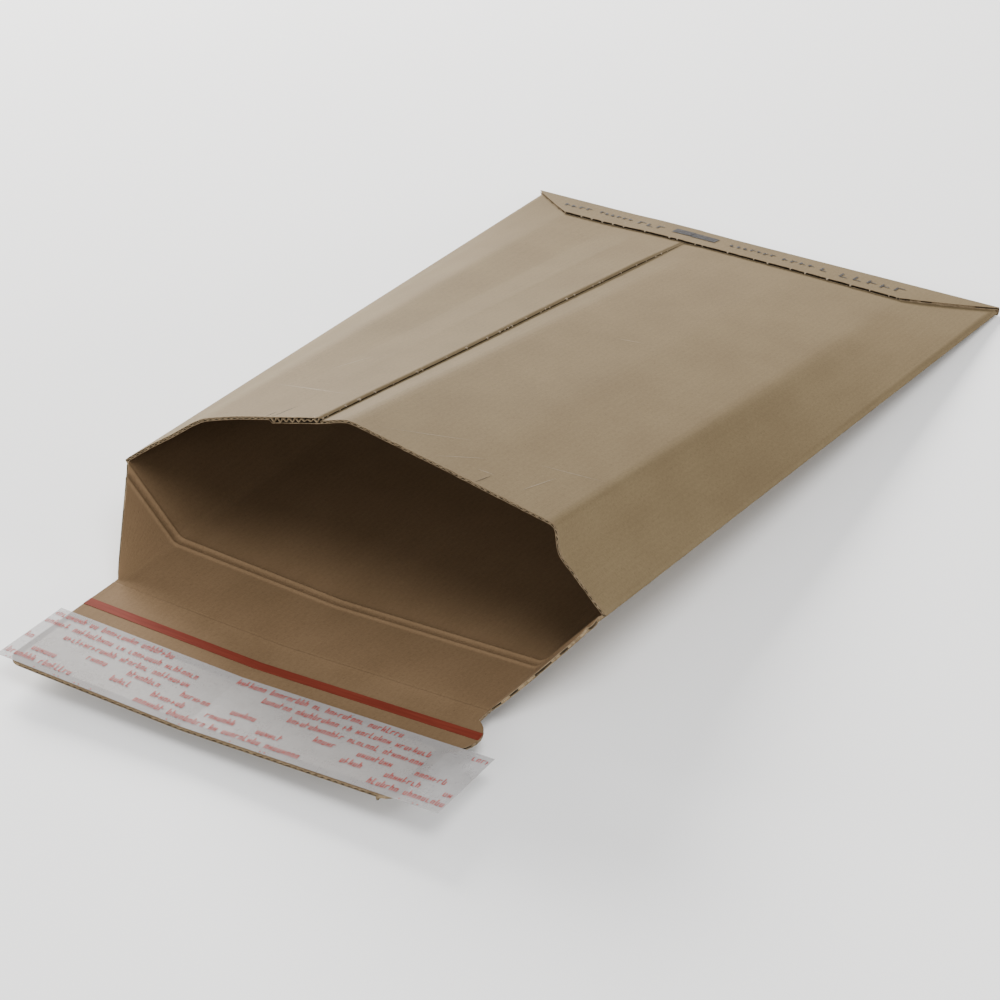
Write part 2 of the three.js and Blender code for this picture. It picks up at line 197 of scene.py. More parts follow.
# Lines on the front: place across at the mouth and share of the length, at both ends
SCUFFS = (
    (4.0, 0.02, 33.0, 0.085), (30.0, 0.015, 44.0, 0.06), (46.0, 0.03, 53.0, 0.035),
    (60.0, 0.10, 84.0, 0.13), (-60.0, 0.20, -52.0, 0.26), (20.0, 0.50, 31.0, 0.515),
    (66.0, 0.03, 70.0, 0.09), (-30.0, 0.10, -72.0, 0.13),
)
NICKS = ((-43.0, 0.0, -40.5, 0.045), (-46.0, 0.0, -44.5, 0.02), (51.0, 0.0, 52.6, 0.03))
SCUFF_WIDTH, SCUFF_LIFT = 0.45, 0.06
LINE_STEPS, LINE_TIP = 10, 0.15

# Colours, darker and lighter, and for the cut papers the spacing of their fibres
KRAFT_OUTER = ((0.127, 0.093, 0.051), (0.144, 0.107, 0.059))
KRAFT_INNER = ((0.130, 0.083, 0.044), (0.149, 0.096, 0.052))
EDGE_PAPERS = (
    ("kraft_cut_edge", ((0.085, 0.06, 0.034), (0.21, 0.155, 0.095)), 420),
    ("kraft_fluting", ((0.11, 0.078, 0.045), (0.24, 0.18, 0.11)), 900),
    # The slot colour is painted shade: near black for the shade inside the flute openings, on the seam's step
    # and in gaping cuts.
    ("kraft_slot_painted_shade", ((0.012, 0.009, 0.006), (0.04, 0.028, 0.017)), 500),
    ("kraft_tuft", ((0.17, 0.13, 0.085), (0.31, 0.25, 0.18)), 700),
)
TAPE_RED = ((0.105, 0.018, 0.011), (0.138, 0.027, 0.016))
ADHESIVE = ((0.42, 0.36, 0.27), (0.55, 0.48, 0.38))
LINER_PAPER, LINER_ALPHA = ((0.33, 0.315, 0.31), (0.37, 0.36, 0.355)), 0.5
PRINT_RED = ((0.25, 0.022, 0.02), (0.36, 0.05, 0.042))
PRINT_GREY = ((0.03, 0.03, 0.034), (0.06, 0.057, 0.057))
SCUFFED_PAPER = ((0.19, 0.15, 0.10), (0.26, 0.21, 0.15))
TORN_PAPER = ((0.03, 0.02, 0.012), (0.06, 0.04, 0.025))

# Camera, in millimetres and degrees
CAMERA_PLACE = Vector((526.0, -804.4, 645.9))
CAMERA_AZIMUTH, CAMERA_ELEVATION, CAMERA_ROLL = 29.76, 31.74, 0.55
CAMERA_LENS, CAMERA_SENSOR = 101.66, 36.0
CAMERA_CLIP = (0.05, 20.0)

# Lights, in metres: place, aim, power, size and colour
WHITE, WARM_WHITE = (1, 1, 1), (1.0, 0.985, 0.96)
LIGHTS = (
    ("key_behind_left", (-1.68, 1.54, 0.88), (0, 0.05, 0), 195, 0.9, WARM_WHITE),
    ("front_soft", (0.1, -2.1, 0.45), (0, 0, 0), 42, 1.0, WHITE),
    ("rim_right", (2.2, 0.1, 0.5), (0.08, 0.05, 0.03), 26, 0.6, WHITE),
    ("rim_left", (-2.2, -0.1, 0.3), (-0.08, 0.05, 0.03), 34, 0.5, WHITE),
    ("top_soft", (0.55, -0.35, 1.6), (0.05, -0.1, 0), 21, 1.1, WHITE),
)
WORLD_COLOUR, WORLD_STRENGTH = (1.0, 0.99, 0.98), 0.5
FLOOR_HALF, FLOOR_GAP = 6.0, 0.0002

# Derived places
ORIGIN = Vector((CLOSED_END_SHIFT, (BODY_LENGTH - FLAP_LENGTH) / 2, 0.0))
CORNER_LEFT = CLOSED_END_SHIFT - FLAT_WIDTH / 2
CORNER_RIGHT = CLOSED_END_SHIFT + FLAT_WIDTH / 2
SEAM_FAR = CORNER_LEFT + SEAM_FROM_CORNER_FAR
LINER_START = FLAP_LENGTH - LINER_SETBACK - LINER_WIDTH
TEAR_STRIP_START = LINER_START - TEAR_STRIP_TO_LINER - TEAR_STRIP_WIDTH
TAB_START = TEAR_STRIP_START + (TEAR_STRIP_WIDTH - TAB_LENGTH) / 2 + TAB_BEHIND_STRIP
WRAP_START = BODY_LENGTH - BOARD - (BOARD + INSIDE_GAP) / 2


def lerp(a, b, t):
    return a + (b - a) * t


def clamp(value, low, high):
    return max(low, min(high, value))


def tan_deg(angle):
    return math.tan(math.radians(angle))


CREASE_LEFT = Vector((FLOOR_FOLD - FLOOR_LEFT, BOARD + FLOOR_LEFT * tan_deg(FLOOR_TILT_LEFT)))
CREASE_RIGHT = Vector((FLOOR_FOLD + FLOOR_RIGHT, BOARD + FLOOR_RIGHT * tan_deg(FLOOR_TILT_RIGHT)))


def wall_tip(crease, angle, side):
    a = math.radians(angle)
    return crease + WALL_WIDTH * Vector((side * math.cos(a), math.sin(a)))


TIP_LEFT = wall_tip(CREASE_LEFT, WALL_ANGLE_LEFT, -1)
TIP_RIGHT = wall_tip(CREASE_RIGHT, WALL_ANGLE_RIGHT, 1)


class Column:
    """One line of the board along the envelope, from the mouth to the closed end."""

    def __init__(self, mouth, far, layers=1.0, lift=0.0, crown=0.0, side="front", pull=0.0):
        self.mouth, self.far, self.pull = Vector(mouth), Vector(far), pull
        self.layers, self.lift, self.crown, self.side = layers, lift, crown, side

    def setback(self):
        """How far the mouth's edge lies back at this line of the front."""
        if self.side != "front":
            return 0.0
        low = min(TIP_LEFT.y, TIP_RIGHT.y)
        return max(0.0, (self.mouth.y ** 2 - low ** 2) / (2 * BODY_LENGTH))

    def at(self, share):
        """Place on the inner face, in X and Z, at one share of the length."""
        point = self.mouth.lerp(self.far, share)
        if self.side == "floor":
            settle = max(0.0, 1 - share * WRAP_START / FLOOR_SETTLE) ** 2
            point.y = BOARD + (self.mouth.y - BOARD) * settle
        point.y += self.crown * math.sin(math.pi * share)
        point.x += self.pull * (1 - max(0.0, 1 - share / FOOT_FADE) ** 2)
        return point


class Between:
    """A line between two driving lines."""

    def __init__(self, a, b, t):
        self.a, self.b, self.t = a, b, t
        self.mouth = a.mouth.lerp(b.mouth, t)
        self.layers, self.lift = lerp(a.layers, b.layers, t), lerp(a.lift, b.lift, t)
        self.side = "floor" if "floor" in (a.side, b.side) else "front"

    def setback(self):
        return lerp(self.a.setback(), self.b.setback(), self.t)

    def at(self, share):
        return self.a.at(share).lerp(self.b.at(share), self.t)


def front(mouth, far_x, layers=1.0, lift=0.0, crown=0.0, pull=0.0):
    """A line of the front, from its place on the outer face at the mouth."""
    inner = (mouth[0], mouth[1] - (layers + lift) * BOARD)
    return Column(inner, (far_x, BOARD + INSIDE_GAP), layers, lift, crown, "front", pull)


def fold_columns(tip, corner_x):
    """The side fold: three lines close together, from the front round to the floor."""
    sign = math.copysign(1, corner_x)
    inner = corner_x - sign * BOARD
    half = INSIDE_GAP / 2
    lines = []
    for dx, dz in ((FOLD_RADIUS, FOLD_RADIUS), (0, 0), (FOLD_RADIUS, -FOLD_RADIUS)):
        far_dx = half if dx else 0
        far_z = BOARD + half + math.copysign(half, dz) * (1 if dz else 0)
        lines.append(Column((tip.x - sign * dx, tip.y + dz), (inner - sign * far_dx, far_z), side="fold"))
    return lines


def on_segment(a, b, x):
    """The point of the line through a and b at x."""
    return (x, lerp(a[1], b[1], (x - a[0]) / (b[0] - a[0])))


def sheet_columns():
    """The driving lines, clockwise from the seam: right panel, floor, left panel."""
    crest_far = SEAM_FAR + CREST[0] - SEAM_AT_MOUTH[0]
    hidden_x = SEAM_AT_MOUTH[0] - LAP_WIDTH
    hidden = on_segment(LEFT_PANEL_MIDDLE, SEAM_AT_MOUTH, hidden_x)
    hidden_far = SEAM_FAR - LAP_WIDTH
    right = [
        front((SEAM_AT_MOUTH[0] + SEAM_STEP, SEAM_AT_MOUTH[1] - BOARD), SEAM_FAR + SEAM_STEP),
        front(CREST, crest_far),
        front(RIGHT_PANEL_MIDDLE, (crest_far + CORNER_RIGHT - RIGHT_CREASE_FAR) / 2, crown=RIGHT_PANEL_CROWN),
        front(RIGHT_SHOULDER, CORNER_RIGHT - RIGHT_CREASE_FAR),
        front(RIGHT_SHOULDER_FOOT, CORNER_RIGHT - RIGHT_CREASE_FAR * FOOT_FAR, pull=FOOT_PULL),
        *fold_columns(TIP_RIGHT, CORNER_RIGHT),
    ]
    floor = [
        Column(CREASE_RIGHT, (CORNER_RIGHT - WALL_WIDTH, BOARD), side="floor"),
        Column((FLOOR_FOLD, BOARD), (FLOOR_FOLD + CLOSED_END_SHIFT, BOARD), side="floor"),
        Column(CREASE_LEFT, (CORNER_LEFT + WALL_WIDTH, BOARD), side="floor"),
    ]
    left = [
        *reversed(fold_columns(TIP_LEFT, CORNER_LEFT)),
        *(front(mouth, CORNER_LEFT + LEFT_CREASE_FAR * far, crown=FACET_CROWN * crown)
          for mouth, far, crown in LEFT_LINES),
        front(LEFT_PANEL_MIDDLE, hidden_far - LAP_EASE),
        front((hidden[0] - SEAM_STEP, hidden[1]), hidden_far - SEAM_STEP, lift=1.0),
        front(hidden, hidden_far, layers=2.0),
        front(SEAM_AT_MOUTH, SEAM_FAR, layers=2.0),
    ]
    return right + floor + left


def densify(lines):
    """More lines between the driving ones, about COLUMN_STEP apart at the mouth."""
    dense = []
    for a, b in zip(lines, lines[1:]):
        steps = max(1, round((b.mouth - a.mouth).length / COLUMN_STEP))
        dense += [a if j == 0 else Between(a, b, j / steps) for j in range(steps)]
    return dense + [lines[-1]]


COLUMNS = densify(sheet_columns())
FOLDS = [i for i, column in enumerate(COLUMNS) if column.side == "fold"]
FLOOR_FIRST, FLOOR_LAST = FOLDS[1], FOLDS[-2]


def path_normals(path, closed):
    """Mitred normals of a path in X and Z that point out of the envelope."""
    count = len(path)
    normals = []
    for i, point in enumerate(path):
        before = path[i - 1] if closed or i else None
        after = path[(i + 1) % count] if closed or i < count - 1 else None
        a = (point - before) if before is not None else (after - point)
        b = (after - point) if after is not None else a
        a, b = a.normalized(), b.normalized()
        normal = Vector((-a.y - b.y, a.x + b.x)).normalized()
        normals.append(normal / max(0.5, normal.dot(Vector((-a.y, a.x)))))
    return normals


def soften(path, sides, rounds=2):
    """Rounds the creases of a section, apart from the side folds and the ends."""
    for _ in range(rounds):
        kept = path
        path = [
            p if sides[i] == "fold" or i in (0, len(kept) - 1)
            else (kept[i - 1] + p * 2 + kept[i + 1]) / 4
            for i, p in enumerate(kept)
        ]
    return path


def sag(x, y):
    """A little unevenness of the big panels."""
    return SAG * noise.noise(Vector((x / SAG_ACROSS, y / SAG_ALONG, SAG_SEED)))


def arc_lengths(path):
    lengths = [0.0]
    for a, b in zip(path, path[1:]):
        lengths.append(lengths[-1] + (b - a).length)
    return lengths


MOUTH_ARC = arc_lengths([column.mouth for column in COLUMNS])


def tube_row(share):
    """Inner point, outer point and place on the flat sheet of every line, at a share of the length."""
    sides = [column.side for column in COLUMNS]
    path = soften([column.at(share) for column in COLUMNS], sides)
    normals = path_normals(path, True)
    fade = math.sin(math.pi * clamp(share * SAG_FADE, 0, 1))
    pressed = 1 - LAP_PRESSED * clamp((share - LAP_PRESS_START) / LAP_PRESS_LENGTH, 0, 1)
    row = []
    for i, column in enumerate(COLUMNS):
        y = lerp(column.setback(), WRAP_START, share)
        wave = normals[i] * (sag(path[i].x, y) * fade if column.side == "front" else 0.0)
        lift, layers = column.lift * pressed, 1 + (column.layers - 1) * pressed
        cell = []
        for boards in (lift, lift + layers):
            p = path[i] + normals[i] * (boards * BOARD) + wave
            cell.append(Vector((p.x, y, p.y)))
        row.append((cell[0], cell[1], (MOUTH_ARC[i], y)))
    return row


def ridge(v, centre, width):
    """A smooth bump, one high."""
    return math.exp(-((v - centre) / width) ** 2)


def bead(v):
    """Two narrow ridges with a hollow between them."""
    ridges = ridge(v, BEAD_FIRST, BEAD_SPREAD) + ridge(v, BEAD_SECOND, BEAD_SPREAD)
    hollow = ridge(v, (BEAD_FIRST + BEAD_SECOND) / 2, BEAD_HOLLOW)
    shape = BEAD_RIDGE_SHARE * ridges - BEAD_HOLLOW_SHARE * hollow
    return BEAD_HEIGHT * shape * min(1.0, v / BEAD_START)


def second_crease(v):
    """The faint groove where the flap's outer part was pressed."""
    rim = ridge(v, SECOND_CREASE + GROOVE_WIDTH, GROOVE_WIDTH)
    return GROOVE_RIM * rim - GROOVE_DEPTH * ridge(v, SECOND_CREASE, GROOVE_WIDTH)


def flap_height(x, v):
    """Height of the closing flap's inner face, v out from the mouth crease."""
    root = min(v, SECOND_CREASE) / SECOND_CREASE
    rise = max(0.0, min(v, SECOND_CREASE) - BEAD_SECOND) * tan_deg(FLAP_RISE)
    rise += max(0.0, v - SECOND_CREASE) * tan_deg(FLAP_RISE_OUTER)
    if x < FLOOR_FOLD:
        tilt = lerp(FLOOR_TILT_LEFT, FLAP_TILT_LEFT, root)
    else:
        tilt = lerp(FLOOR_TILT_RIGHT, FLAP_TILT_RIGHT, root)
    return BOARD + rise + abs(x - FLOOR_FOLD) * tan_deg(tilt)


def corner_inset(v):
    """How far the rounded corners take the edge in."""
    into = v - (FLAP_LENGTH - END_CORNER)
    return END_CORNER - math.sqrt(max(0.0, END_CORNER ** 2 - into ** 2)) if into > 0 else 0.0


def tab_bulge(v):
    """How far the tear tab's arc takes the edge out."""
    half = TAB_LENGTH / 2
    along = abs(v - TAB_START - half)
    if along >= half:
        return 0.0
    radius = (half ** 2 + TAB_REACH ** 2) / (2 * TAB_REACH)
    return math.sqrt(radius ** 2 - along ** 2) - (radius - TAB_REACH)


def flap_edges(v):
    inset = corner_inset(v)
    return -FLAP_LEFT + inset, FLAP_RIGHT + tab_bulge(v) - inset


def flap_row(v):
    """The closing flap with its gussets, at one distance out from the mouth crease."""
    share = min(1.0, v / GUSSET_LENGTH)
    left, right = flap_edges(v)
    part = COLUMNS[FLOOR_FIRST:FLOOR_LAST + 1]
    creases = (CREASE_LEFT.x, CREASE_RIGHT.x)
    path = []
    for column in part:
        x, z = column.mouth
        if x < creases[0] or x > creases[1]:
            tip, crease, edge = (TIP_LEFT, CREASE_LEFT, left) if x < 0 else (TIP_RIGHT, CREASE_RIGHT, right)
            out = clamp((x - crease.x) / (tip.x - crease.x), 0, 1)
            root = clamp(crease.x, left + EDGE_ROOM, right - EDGE_ROOM)
            flat_x = lerp(root, edge, out)
            x = lerp(x, flat_x, share)
            z = lerp(z, flap_height(flat_x, v), share)
        else:
            x = clamp(x, left + EDGE_ROOM, right - EDGE_ROOM)
            z = flap_height(x, v)
        path.append(Vector((x, z)))
    path = soften(path, [column.side for column in part], rounds=1)
    lift = bead(v) + second_crease(v)
    path = [Vector((p.x, p.y + lift)) for p in path]
    normals = path_normals(path, False)
    row = []
    for i, p in enumerate(path):
        outer = p + normals[i] * BOARD
        arc = MOUTH_ARC[FLOOR_FIRST + i]
        row.append((Vector((p.x, -v, p.y)), Vector((outer.x, -v, outer.y)), (arc, -v)))
    return row


FRONT_TOPS = {}


def front_tops(y):
    """The front's outer points in a section near the closed end, from left to right."""
    if y not in FRONT_TOPS:
        row = tube_row(y / WRAP_START)
        tops = [cell[1] for cell, column in zip(row, COLUMNS) if column.side == "front"]
        FRONT_TOPS[y] = sorted(tops, key=lambda p: p.x)
    return FRONT_TOPS[y]


def front_height(x, y):
    """Height of the front's outer face near the closed end."""
    tops = front_tops(y)
    for a, b in zip(tops, tops[1:]):
        if a.x <= x <= b.x:
            return lerp(a.z, b.z, (x - a.x) / max(1e-6, b.x - a.x))
    return tops[0].z if x < tops[0].x else tops[-1].z


# Mesh making

OUTER_PAPER, INNER_PAPER, CUT_EDGE, FLUTING, PAINTED_SHADE, TUFT = range(6)


class SheetMesh:
    """Collects the faces of the folded board, with the place of every corner on the flat sheet."""

    def __init__(self):
        self.points, self.flat, self.faces, self.kinds = [], [], [], []

    def point(self, place, flat):
        p = (place - ORIGIN) * MM
        self.points.append(Vector(clamp(*limits) for limits in zip(p, cad_box[0], cad_box[1])))
        self.flat.append((flat[0] * MM, flat[1] * MM))
        return len(self.points) - 1

    def face(self, corners, kind):
        self.faces.append(corners)
        self.kinds.append(kind)

    def strip(self, line_a, line_b, kind, closed=False):
        count = len(line_a)
        for k in range(count if closed else count - 1):
            n = (k + 1) % count
            self.face((line_a[k], line_a[n], line_b[n], line_b[k]), kind)

    def sheet(self, rows, closed=False):
        """Both faces of the board, from rows of cells."""
        made = []
        for row in rows:
            inner = [self.point(cell[0], cell[2]) for cell in row]
            outer = [self.point(cell[1], cell[2]) for cell in row]
            made.append((inner, outer))
        for (inner_a, outer_a), (inner_b, outer_b) in zip(made, made[1:]):
            self.strip(inner_a, inner_b, INNER_PAPER, closed)
            self.strip(outer_b, outer_a, OUTER_PAPER, closed)
            # Painted shade: on the closed tube the last face of each outer strip is the seam's step, which
            # gets the near-black slot colour.
            if closed:
                self.kinds[-1] = PAINTED_SHADE

    def cut(self, cells, inward, fluted, medium=True):
        """A cut edge: two liners with a slot between them, which is painted near black as shade where flutes
        show, and a wavy medium where flutes end.
        """
        lines = [[], [], [], [], [], []]
        for (inner, outer, flat), step in zip(cells, inward):
            skin = min(THICKEST_SKIN, PAPER / max(0.01, (outer - inner).length))
            under, over = outer.lerp(inner, skin), inner.lerp(outer, skin)
            for line, place in zip(lines, (outer, under, under + step, over + step, over, inner)):
                line.append(self.point(place, flat))
        # Where flutes show, the slot's walls and floor get the near-black colour: painted shade in the flute
        # openings.
        deep, wall = (PAINTED_SHADE, PAINTED_SHADE) if fluted else (FLUTING, CUT_EDGE)
        for a, b, kind in zip(lines, lines[1:], (CUT_EDGE, wall, deep, wall, CUT_EDGE)):
            self.strip(a, b, kind)
            if kind == FLUTING:
                self.shade_gaping_stretches(a)
        if fluted and medium:
            self.medium(cells, inward)

    def shade_gaping_stretches(self, line):
        """Paints shade, in the slot's near-black colour, on stretches of the last strip, standing in for the
        shade where the liners of a lengthwise cut gape.
        """
        first = len(self.kinds) - len(line) + 1
        for j in range(first, len(self.kinds)):
            place = self.points[self.faces[j][0]] / MM
            wave = Vector((place.x / GAPE_SPACING_X, place.y / GAPE_SPACING_Y, GAPE_SEED))
            if noise.noise(wave) > GAPE_LEVEL:
                self.kinds[j] = PAINTED_SHADE

    def medium(self, cells, inward):
        """The corrugated medium, a wavy ribbon between the liners."""
        centres = [inner.lerp(outer, 0.5) for inner, outer, _ in cells]
        lengths = arc_lengths(centres)
        total, k, s = lengths[-1], 0, 0.0
        ribbon = [[], [], [], []]
        while s < total:
            while k < len(lengths) - 2 and lengths[k + 1] < s:
                k += 1
            t = clamp((s - lengths[k]) / max(1e-6, lengths[k + 1] - lengths[k]), 0, 1)
            inner = cells[k][0].lerp(cells[k + 1][0], t)
            outer = cells[k][1].lerp(cells[k + 1][1], t)
            flat = (lerp(cells[k][2][0], cells[k + 1][2][0], t), cells[k][2][1])
            across = outer - inner
            room = max(0.0, 1 - (2 * PAPER + MEDIUM) / max(0.01, across.length))
            crushed = CRUSH_MIDDLE + CRUSH_SPREAD * noise.noise(Vector((s / CRUSH_SPACING, 1.0, 6.0)))
            crushed = clamp(crushed, CRUSH_LEAST, 1.0)
            phase = 2 * math.pi * s / FLUTE_PITCH + FLUTE_DRIFT * math.sin(s / FLUTE_DRIFT_SPACING)
            wave = 0.5 + 0.5 * room * crushed * math.sin(phase)
            half = across.normalized() * MEDIUM / 2
            step = inward[k].lerp(inward[k + 1], t)
            place = inner + across * wave + step * 0.03
            for line, shift in zip(ribbon, (half, -half, step * 0.95 - half, step * 0.95 + half)):
                line.append(self.point(place + shift, flat))
            s += FLUTE_PITCH / FLUTE_STEPS
        for a, b in zip(ribbon, ribbon[1:] + ribbon[:1]):
            self.strip(a, b, FLUTING)

    def make(self, name, materials):
        mesh = bpy.data.meshes.new(name)
        mesh.from_pydata([tuple(p) for p in self.points], [], self.faces)
        layer = mesh.uv_layers.new(name="flat_sheet")
        for loop in mesh.loops:
            layer.data[loop.index].uv = self.flat[loop.vertex_index]
        for material in materials:
            mesh.materials.append(material)
        mesh.polygons.foreach_set("material_index", self.kinds)
        mesh.polygons.foreach_set("use_smooth", [True] * len(self.faces))
        mesh.update()
        made = bpy.data.objects.new(name, mesh)
        bpy.context.scene.collection.objects.link(made)
        return made


def spread(start, end, steps):
    return [lerp(start, end, j / steps) for j in range(steps + 1)]


def border(rows, k):
    return [row[k] for row in rows]


def inward_along(cells, neighbours, depth):
    """Steps from an edge's cells towards the neighbouring cells, depth long."""
    steps = []
    for (inner, outer, _), (next_inner, next_outer, _) in zip(cells, neighbours):
        step = (next_inner + next_outer) / 2 - (inner + outer) / 2
        steps.append(step.normalized() * depth if step.length > 1e-6 else Vector((0, depth, 0)))
    return steps


def tube_shares():
    """Shares of the length, closer together near the mouth."""
    return spread(0, MOUTH_SHARE, MOUTH_STEPS)[:-1] + spread(MOUTH_SHARE, 1, BODY_STEPS)


def ragged(cells, amount, seed):
    """A cut edge is never quite straight."""
    moved = []
    for inner, outer, flat in cells:
        place = Vector((inner.x / RAGGED_SPACING, inner.z / RAGGED_SPACING, seed))
        shift = Vector((0, amount * noise.noise(place), 0))
        moved.append((inner + shift, outer + shift, flat))
    return moved


def add_tube(mesh):
    """The body: floor, side walls and lapped front panels, with the cut edge of the mouth."""
    rows = [tube_row(share) for share in tube_shares()]
    count = len(COLUMNS)
    front_part = [k % count for k in range(FLOOR_LAST, count + FLOOR_FIRST + 1)]
    edge = ragged([rows[0][k] for k in front_part], MOUTH_RAGGED, MOUTH_RAGGED_SEED)
    for k, cell in zip(front_part, edge):
        if COLUMNS[k].side == "front":
            rows[0][k] = cell
    mesh.sheet(rows, closed=True)
    edge = [rows[0][k] for k in front_part]
    behind = [rows[3][k] for k in front_part]
    mesh.cut(edge, inward_along(edge, behind, FLUTE_DEPTH), fluted=True)


def flap_distances():
    """Distances out from the mouth crease, close together where the flap's shape changes."""
    distances = spread(0, BEAD_SECOND + BEAD_WIDTH, BEAD_STEPS)[1:]
    distances += spread(PAST_BEADS, GUSSET_LENGTH, GUSSET_STEPS)
    distances += [SECOND_CREASE + step for step in SECOND_CREASE_STEPS]
    distances += [TAB_START + TAB_LENGTH * share for share in TAB_SHARES]
    distances += spread(TAB_START + TAB_LENGTH + PAST_TAB, FLAP_LENGTH - END_CORNER, OUTER_STEPS)
    distances += [FLAP_LENGTH - END_CORNER * (1 - math.sin(math.radians(a))) for a in CORNER_ANGLES]
    return sorted(set(distances))


def add_closing_flap(mesh):
    """The closing flap and its gussets, out from the floor and the side walls."""
    root = tube_row(0)[FLOOR_FIRST:FLOOR_LAST + 1]
    rows = [root] + [flap_row(v) for v in flap_distances()]
    mesh.sheet(rows)
    last = rows[-1]
    mesh.cut(last, inward_along(last, rows[-5], FLAP_EDGE_DEPTH), fluted=True)
    for k, neighbour in ((0, 1), (-1, -2)):
        edge = border(rows, k)
        mesh.cut(edge, inward_along(edge, border(rows, neighbour), SIDE_CUT_DEPTH), fluted=False)


def rest_height(x, y):
    """Where the bottom flap rests: it bridges the low side of the lap's step."""
    near = [front_height(clamp(x + dx, CORNER_LEFT, CORNER_RIGHT), y) for dx in BRIDGE]
    return max(near[BRIDGE.index(0)], sum(near) / len(near))


def flap_top(x, depth):
    """A place just above the bottom flap, depth in from the closed end."""
    y = WRAP_START - depth
    return Vector((x, y, rest_height(x, y) + BOARD + MARK_LIFT))


def add_bottom_flap(mesh):
    """The floor runs on round the closed end and lies glued on the front, with cut-off corners."""
    start = tube_row(1)[FLOOR_FIRST:FLOOR_LAST + 1]
    right_end, left_end = start[0][1].x, start[-1][1].x
    rows = [start]
    tops = [rest_height(cell[1].x, WRAP_START) for cell in start]
    for degrees in spread(WRAP_FIRST_ANGLE, 180, WRAP_STEPS):
        a = math.radians(degrees)
        row = []
        for (_, outer, flat), top in zip(start, tops):
            half = (top - BOARD) / 2
            centre = Vector((outer.x, WRAP_START, BOARD + half))
            turn = Vector((0, math.sin(a), -math.cos(a)))
            reach = min(half + BOARD, BODY_LENGTH - WRAP_START) / (half + BOARD)
            turn.y *= reach
            along = flat[1] + (half + BOARD) * a
            row.append((centre + turn * half, centre + turn * (half + BOARD), (flat[0], along)))
        rows.append(row)
    for depth in spread(0, BOTTOM_FLAP_DEPTH, BOTTOM_FLAP_STEPS)[1:]:
        share = depth / BOTTOM_FLAP_DEPTH
        right = lerp(right_end, CORNER_RIGHT - RIGHT_CREASE_FAR, share)
        left = lerp(left_end, CORNER_LEFT + LEFT_CREASE_FAR, share)
        y = WRAP_START - depth
        row = []
        for i, (_, outer, flat) in enumerate(start):
            x = clamp(outer.x, left + CLOSEST_POINTS * (len(start) - i), right - CLOSEST_POINTS * i)
            z = rest_height(x, y)
            row.append((Vector((x, y, z)), Vector((x, y, z + BOARD)), (flat[0], WRAP_START + depth)))
        rows.append(row)
    rows[-1] = ragged(rows[-1], BOTTOM_FLAP_RAGGED, BOTTOM_FLAP_RAGGED_SEED)
    mesh.sheet(rows)
    last = rows[-1]
    mesh.cut(last, inward_along(last, rows[-4], FLUTE_DEPTH), fluted=True, medium=False)
    add_flap_tufts(mesh, last)
    for k in (0, -1):
        edge = border(rows[WRAP_STEPS:], k)
        steps = [Vector((-math.copysign(CORNER_CUT_IN, cell[0].x), CORNER_CUT_BACK, 0)) for cell in edge]
        mesh.cut(edge, steps, fluted=False)


def add_tuft(mesh, start, end, out, up):
    """One torn bridge of paper beside a zip cut."""
    along = end - start
    corners = (start, end, end - along * 0.25 + out + up, start + along * 0.3 + out * 0.8 + up)
    low = [corner - Vector((0, 0, TUFT_DROP)) for corner in corners[2:]]
    ids = [mesh.point(place, (place.x, place.y)) for place in (*corners, *low)]
    mesh.face((ids[0], ids[1], ids[2], ids[3]), TUFT)
    mesh.face((ids[3], ids[2], ids[4], ids[5]), TUFT)


def add_seam_lips(mesh, rows):
    """Crushed liner above and below the slot of the seam, which leaves only a thin dark line of painted
    shade.
    """
    for low, high, out_low, out_high in SEAM_LIPS:
        lines = [[], []]
        for row in rows:
            top, foot = row[-1][1], row[0][1]
            wander = LIP_WANDER * noise.noise(Vector((top.y / LIP_SPACING, low, LIP_SEED)))
            for line, share, out in zip(lines, (low, high), (out_low, out_high)):
                place = top.lerp(foot, clamp(share + (wander if 0 < share < 1 else 0), 0, 1))
                line.append(mesh.point(place + Vector((out, 0, LIP_LIFT)), (place.x, place.y)))
        mesh.strip(lines[0], lines[1], OUTER_PAPER)


def add_seam_tufts(mesh):
    """The zip cut along the seam leaves a slot, painted near black as shade, that torn bridges of paper
    interrupt.
    """
    rng = random.Random(SEAM_TUFT_SEED)
    seam = len(COLUMNS) - 1
    share = SEAM_TUFT_FIRST
    while share < SEAM_TUFT_LAST:
        length = rng.uniform(0.003, 0.008)
        start, end = (tube_row(place)[seam][1] for place in (share, share + length))
        out = Vector((rng.uniform(0.5, 1.1), 0, -rng.uniform(0.1, 0.6)))
        add_tuft(mesh, start, end, out, Vector((0, 0, rng.uniform(0.0, 0.15))))
        share += rng.choice(SEAM_TUFT_STEPS) * rng.uniform(0.8, 1.2)


def add_flap_tufts(mesh, last):
    """The same torn bridges along the bottom flap's cut edge."""
    rng = random.Random(FLAP_TUFT_SEED)
    k = 3
    while k < len(last) - 4:
        start, end = last[k][1], last[k][1].lerp(last[k + 1][1], rng.uniform(0.4, 1.0))
        add_tuft(mesh, start, end, Vector((0, -rng.uniform(0.3, 0.8), -0.3)), Vector((0, 0, 0.05)))
        k += rng.randrange(2, 8)


# Materials

def shader(name, roughness, specular=0.3):
    material = bpy.data.materials.new(name)
    material.use_nodes = True
    tree = material.node_tree
    surface = tree.nodes["Principled BSDF"]
    surface.inputs["Roughness"].default_value = roughness
    surface.inputs["Specular IOR Level"].default_value = specular
    return material, tree, surface


